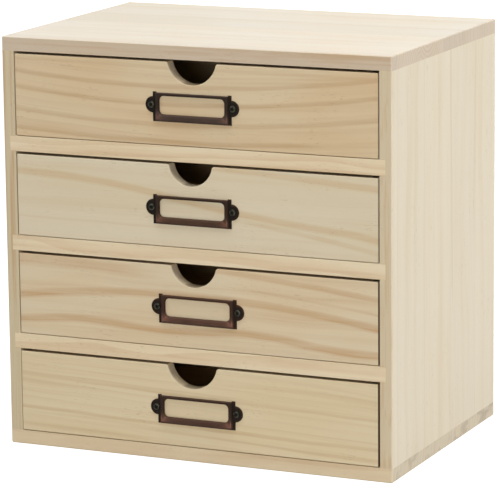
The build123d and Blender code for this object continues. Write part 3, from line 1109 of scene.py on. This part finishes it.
@dataclass
class Carcass:
    """The fixed cabinet: top, bottom, sides, dividers, back and what joins them."""

    stave: float = 0.052
    top_pale: Colour = lin(233, 225, 211)
    side_pale: Colour = lin(231, 221, 200)
    finishes: dict[str, Union[Pine, Plywood]] = field(default_factory=dict)

    def __post_init__(self) -> None:
        """Chooses each board's finish."""
        warm = lin(228, 210, 180)
        late = lin(204, 172, 130)
        self.finishes = {
            "top_panel": Pine(
                "pine_top", Grain.ACROSS_SHELF, Heart(across=0.01, deep=-0.03, ring=0.0036),
                pale=self.top_pale, warm=warm, late=late, rings=0.10, end_rings=0.55, lines=0.16,
                edge_lines=0.7, through=110.0, patches=0.35, stave=0.047, stave_tint=0.045,
                edge_tint_and_gap_shade=0.4, seed=3.0, end_tone=lin(197, 180, 158),
            ),
            "bottom_panel": Pine(
                "pine_bottom", Grain.ACROSS_SHELF, Heart(across=-0.2, deep=0.05, ring=0.006),
                pale=lin(241, 227, 198), warm=lin(232, 211, 177), late=late, rings=0.4, lines=0.3,
                stave=self.stave, stave_tint=0.06, edge_tint_and_gap_shade=0.1, end_rings=0.1, end_blotches=0.18,
                end_tone=lin(200, 190, 173), seed=7.0,
            ),
            "left_side_panel": Pine(
                "pine_left_side", Grain.UPRIGHT, Heart(across=-0.12, deep=0.06, ring=0.006),
                pale=lin(222, 209, 179), warm=warm, late=late, rings=0.22, lines=0.2,
                edge_lines=0.8, through=260.0, stave=self.stave, stave_tint=0.05, seed=11.0,
            ),
            "right_side_panel": Pine(
                "pine_right_side", Grain.UPRIGHT,
                Heart(across=0.1, deep=0.05, ring=0.016, bow=0.12, wander=0.012),
                pale=self.side_pale, warm=lin(225, 210, 184), late=late, rings=0.1, lines=0.1,
                edge_lines=0.9, through=260.0, patches=0.3, stave=0.055, stave_tint=0.02,
                edge_tint_and_gap_shade=0.5, edge_tint_and_gap_shade_colour=lin(220, 201, 165), seed=13.0,
                streaks=(
                    Streak(17, 14, 11, 1.6, 0.30, fade_left=-0.1),
                    Streak(-12, -9, -14, 5.0, 0.14),
                    Streak(58, 62, 66, 3.0, 0.16, fade_left=0.2),
                    Streak(-60, -64, -58, 4.0, 0.12),
                ),
            ),
            "back_panel": Plywood("plywood_back", 1, 2),
        }
        for index, name in enumerate(("upper_divider", "middle_divider", "lower_divider")):
            self.finishes[name] = Pine(
                f"pine_{name}", Grain.ACROSS_SHELF,
                Heart(
                    across=-0.16, deep=0.045 - 0.03 * index, ring=0.005, rise=0.02 * (index - 1),
                    wander=0.008,
                ),
                pale=lin(246, 232, 203), warm=lin(237, 217, 181), late=lin(206, 165, 118),
                rings=0.36, lines=0.25, through=110.0, seed=17.0 + 4 * index,
            )

    def build(self) -> None:
        """Dresses the cabinet's pieces."""
        for node, finish in self.finishes.items():
            dress(node, finish.build(middle_of(node)))
        dress("corner_dowels", Beech().build())


@dataclass
class Drawer:
    """One drawer: its front, its box, its label frame and its fasteners."""

    number: int
    front: Pine
    bronze: AntiqueBronze
    label: LabelFrame = field(default_factory=LabelFrame)
    screw: RoundHeadScrew = field(default_factory=RoundHeadScrew)
    screw_turns: tuple[float, float] = (20.0, 65.0)

    def node(self, part: str) -> str:
        """Returns the full name of one of the drawer's pieces."""
        return f"drawer_{self.number}_{part}"

    def build(self, steel: bpy.types.Material, wire: bpy.types.Material) -> None:
        """Dresses the drawer's boards and makes its metal pieces.

        Args:
            steel: Finish of the screws.
            wire: Finish of the pins and brads.
        """
        dress(self.node("front"), self.front.build(middle_of(self.node("front"))))
        self._dress_box()
        dress(self.node("brads"), wire)
        self._label_frame(self.bronze.build())
        self._screws(steel)

    def _dress_box(self) -> None:
        """Dresses the sides, the back and the bottom of the drawer's box."""
        pale = lin(220, 202, 170)
        for index, part in enumerate(("left_side", "right_side", "back")):
            grain = Grain.ACROSS_FRONT if part == "back" else Grain.FRONT_TO_BACK
            finish = Pine(
                f"pine_{self.node(part)}", grain,
                Heart(across=-0.06 + 0.02 * index, deep=0.05, ring=0.005),
                pale=pale, rings=0.3, lines=0.3, seed=31.0 + 5 * self.number + index,
            )
            dress(self.node(part), finish.build(middle_of(self.node(part))))
        sheet = Plywood(f"plywood_drawer_{self.number}", 2, 0)
        dress(self.node("bottom"), sheet.build(middle_of(self.node("bottom"))))

    def _label_frame(self, bronze: bpy.types.Material) -> None:
        """Makes the label frame in the place of the plain one.

        Args:
            bronze: Its finish.
        """
        node = self.node("label_frame")
        low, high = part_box(node)
        piece = self.label.build(f"{node}_pressed", (low.x + high.x) / 2, low.z, high.y)
        piece.data.materials.append(bronze)
        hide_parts(node)
        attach(piece, f"drawer_{self.number}")
        LOG.info("%s has %d faces", piece.name, len(piece.data.polygons))

    def _screws(self, steel: bpy.types.Material) -> None:
        """Makes the two screws in the place of the plain ones.

        Args:
            steel: Their finish.
        """
        node = self.node("label_screws")
        low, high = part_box(node)
        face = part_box(self.node("label_frame"))[1].y - self.label.sheet * MM
        middle_z = (low.z + high.z) / 2
        radius = self.screw.head_radius * MM
        places = ((low.x + radius, face, middle_z), (high.x - radius, face, middle_z))
        parts = [
            self.screw.build(f"{node}_{side}", place, turn)
            for side, place, turn in zip(("left", "right"), places, self.screw_turns)
        ]
        piece = join(f"{node}_cross", parts)
        piece.data.materials.append(steel)
        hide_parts(node)
        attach(piece, f"drawer_{self.number}")
        LOG.info("%s has %d faces", piece.name, len(piece.data.polygons))


def drawer_fronts() -> tuple[Pine, ...]:
    """Returns the four fronts' finishes, top drawer first, each with its own figure."""
    across = Grain.ACROSS_FRONT
    # The fronts' top, bottom and end faces and their right eased edge are painted dark brown:
    # painted shade for the gaps round each front.
    edge_tint_and_gap_shade = {"edge_tint_and_gap_shade": 0.5, "edge_tint_and_gap_shade_colour": lin(98, 72, 46), "half_length": 0.14925}
    return (
        Pine(
            "pine_front_1", across, Heart(across=-0.09, deep=0.03, ring=0.009, bow=0.35),
            pale=lin(231, 214, 182), warm=lin(226, 198, 159), late=lin(186, 146, 98),
            rings=0.10, lines=0.22, patches=0.7, seed=1.0, right_gap_shade=0.3, **edge_tint_and_gap_shade,
            streaks=(
                Streak(19.5, 13, 26.5, 2.6, 0.34),
                Streak(7, -0.5, 13, 2.4, 0.36),
                Streak(-9.4, -16, -3.5, 2.8, 0.34),
                Streak(-24, -29, -20, 2.6, 0.40, fade_right=0.5),
                Streak(28.5, 27, 27, 2.0, 0.22),
            ),
        ),
        Pine(
            "pine_front_2", across, Heart(across=-0.12, deep=0.05, ring=0.012),
            pale=lin(233, 223, 199), warm=lin(229, 213, 181), late=lin(208, 172, 116),
            rings=0.05, lines=0.12, patches=0.5, seed=21.0, right_gap_shade=0.4, **edge_tint_and_gap_shade,
            streaks=(
                Streak(20.5, 3.8, -17.5, 3.8, 0.46, wave=1.8, waves=1.4, phase=3.6),
                Streak(36, 32, 22.5, 3.6, 0.40, fade_left=0.25),
                Streak(12, -3, -25, 2.6, 0.30, fade_left=0.35),
                Streak(-16, -18, -23, 1.2, 0.16, fade_right=-0.3),
            ),
        ),
        Pine(
            "pine_front_3", across, Heart(across=-0.10, deep=0.04, ring=0.010),
            pale=lin(233, 219, 191), warm=lin(228, 206, 170), late=lin(196, 150, 94),
            rings=0.08, lines=0.2, patches=0.6, seed=41.0, right_gap_shade=0.95, **edge_tint_and_gap_shade,
            streaks=(
                Streak(28, 22, 10, 6.5, 0.40, fade_right=-0.45),
                Streak(-1, 8.5, -4.5, 4.2, 0.50),
                Streak(-19, -18, -24, 4.2, 0.54, wave=1.8, waves=2.0, phase=-0.6),
                Streak(40, 32, 17.5, 3.2, 0.38, fade_left=0.2),
                Streak(16, 19, 6, 1.6, 0.26, fade_left=0.45),
            ),
        ),
        Pine(
            "pine_front_4", across, Heart(across=-0.2, deep=0.03, ring=0.0065, rise=-0.03),
            pale=lin(236, 222, 191), warm=lin(231, 213, 176), late=lin(203, 170, 120),
            rings=0.16, lines=0.33, patches=0.6, seed=61.0, right_gap_shade=0.95, **edge_tint_and_gap_shade,
            streaks=(
                Streak(14, 8, 4, 1.8, 0.34),
                Streak(-12, -16, -19, 2.0, 0.38),
            ),
        ),
    )


def label_finishes() -> tuple[AntiqueBronze, ...]:
    """Returns the four label frames' finishes, top drawer first, each with its own colours and
    polish.
    """
    return (
        AntiqueBronze("antique_bronze_1", rubbed=0.5, seed=1.0),
        AntiqueBronze("antique_bronze_2", brown=lin(82, 60, 48), rubbed=0.6, seed=9.0),
        AntiqueBronze(
            "antique_bronze_3", dark=lin(36, 24, 17), brown=lin(92, 66, 55), rubbed=0.8, seed=4.0
        ),
        AntiqueBronze(
            "antique_bronze_4", dark=lin(31, 23, 17), brown=lin(84, 61, 51), rubbed=0.9, seed=6.0
        ),
    )


# ------------------------------------------------------------------------------ studio
@dataclass(frozen=True)
class SoftBox:
    """A square soft light. Sizes are in metres and its power in watts."""

    name: str
    place: Point
    aim: Point
    side: float
    power: float
    colour: Colour = (1.0, 1.0, 1.0)

    def build(self) -> None:
        """Makes the light."""
        lamp = bpy.data.lights.new(self.name, "AREA")
        lamp.shape = "SQUARE"
        lamp.size = self.side
        lamp.energy = self.power
        lamp.color = self.colour
        made = bpy.data.objects.new(self.name, lamp)
        direction = Vector(self.aim) - Vector(self.place)
        made.location = self.place
        made.rotation_euler = direction.to_track_quat("-Z", "Y").to_euler()
        bpy.context.scene.collection.objects.link(made)
        LOG.info("%s gives %.1f W", self.name, self.power)


@dataclass
class Studio:
    """White floor and surroundings, soft lights and the camera."""

    frame_px: tuple[int, int] = (497, 486)
    focal_px: float = 3236.4
    sensor_mm: float = 36.0
    camera_place: Point = (1.01755, -2.26771, 0.65248)
    camera_aim: Point = (-0.00318, -0.00359, 0.15028)
    roll_degrees: float = 0.604
    surround: float = 0.16
    floor_half: float = 6.0
    floor_white: float = 0.45
    floor_glow: float = 0.9
    lights: tuple[SoftBox, ...] = (
        SoftBox("key_from_right", (2.6, 0.5, 1.0), (0.0, 0.0, 0.15), 1.3, 42.0),
        SoftBox("overhead", (-0.1, -0.45, 2.3), (0.0, 0.0, 0.2), 1.6, 35.8),
        SoftBox("low_front", (0.9, -3.2, 0.42), (0.0, 0.0, 0.15), 0.8, 35.5, (1.0, 0.91, 0.78)),
        SoftBox("rear_fill", (-1.1, 3.1, 0.27), (0.0, 0.1, 0.15), 0.5, 22.0, (1.0, 0.95, 0.88)),
    )

    def build(self) -> None:
        """Makes everything round the object."""
        bpy.context.scene.view_settings.view_transform = "Standard"
        self._camera()
        self._world()
        self._floor()
        for light in self.lights:
            light.build()

    def _camera(self) -> None:
        """Makes the camera: its place, where it aims and how far it leans to the right."""
        place = Vector(self.camera_place)
        forward = (Vector(self.camera_aim) - place).normalized()
        level = forward.cross(Vector((0, 0, 1))).normalized()
        upright = level.cross(forward)
        lean = math.radians(self.roll_degrees)
        up = upright * math.cos(lean) + level * math.sin(lean)
        right = level * math.cos(lean) - upright * math.sin(lean)
        turned = Matrix((right, up, -forward)).transposed().to_4x4()
        data = bpy.data.cameras.new("photo_camera")
        data.sensor_fit = "HORIZONTAL"
        data.sensor_width = self.sensor_mm
        data.lens = self.focal_px / self.frame_px[0] * self.sensor_mm
        data.clip_end = 60.0
        camera = bpy.data.objects.new("photo_camera", data)
        camera.matrix_world = Matrix.Translation(place) @ turned
        bpy.context.scene.collection.objects.link(camera)
        bpy.context.scene.camera = camera

    def _world(self) -> None:
        """Makes the surroundings: white where they are seen and softer as a light."""
        world = bpy.data.worlds.new("studio")
        world.use_nodes = True
        tree = world.node_tree
        tree.nodes.clear()
        path = tree.nodes.new("ShaderNodeLightPath")
        seen = tree.nodes.new("ShaderNodeMath")
        seen.operation = "MAXIMUM"
        tree.links.new(path.outputs["Is Camera Ray"], seen.inputs[0])
        tree.links.new(path.outputs["Is Glossy Ray"], seen.inputs[1])
        strength = tree.nodes.new("ShaderNodeMapRange")
        tree.links.new(seen.outputs[0], strength.inputs[0])
        strength.inputs[3].default_value = self.surround
        strength.inputs[4].default_value = 1.0
        glow = tree.nodes.new("ShaderNodeBackground")
        glow.inputs["Color"].default_value = (1.0, 1.0, 1.0, 1.0)
        tree.links.new(strength.outputs[0], glow.inputs["Strength"])
        out = tree.nodes.new("ShaderNodeOutputWorld")
        tree.links.new(glow.outputs[0], out.inputs[0])
        bpy.context.scene.world = world

    def _floor(self) -> None:
        """Makes the floor: a pale matt sheet that keeps shadows and reads as white."""
        half = self.floor_half
        near = [[-half, -half, 0.0], [half, -half, 0.0]]
        far = [[-half, half, 0.0], [half, half, 0.0]]
        corners = np.array([near, far])
        floor = mesh_from_grid("floor", corners, False, False)
        if floor.data.polygons[0].normal.z < 0:
            floor.data.flip_normals()
        g = Graph("studio_floor")
        path = g.node("ShaderNodeLightPath", out="Is Camera Ray")
        gloss = Sig(g, path.socket.node.outputs["Is Glossy Ray"])
        through = Sig(g, path.socket.node.outputs["Is Transmission Ray"])
        seen = path.at_least(gloss).at_least(through)
        matt = g.node("ShaderNodeBsdfDiffuse", {}, {"Color": (self.floor_white,) * 3})
        glow = g.node(
            "ShaderNodeEmission", {}, {"Color": (1.0, 1.0, 1.0), "Strength": seen * self.floor_glow}
        )
        both = g.node("ShaderNodeAddShader", {}, {0: matt, 1: glow})
        g.node("ShaderNodeOutputMaterial", {}, {0: both})
        floor.data.materials.append(g.material)


def main() -> None:
    """Builds the sub-assemblies in order and reports each piece."""
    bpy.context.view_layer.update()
    Studio().build()
    Carcass().build()
    steel = BlackenedSteel().build()
    wire = BareWire().build()
    dress("back_panel_brads", wire)
    for number, (front, bronze) in enumerate(zip(drawer_fronts(), label_finishes()), start=1):
        Drawer(number, front, bronze).build(steel, wire)


if __name__ == "__main__":
    main()
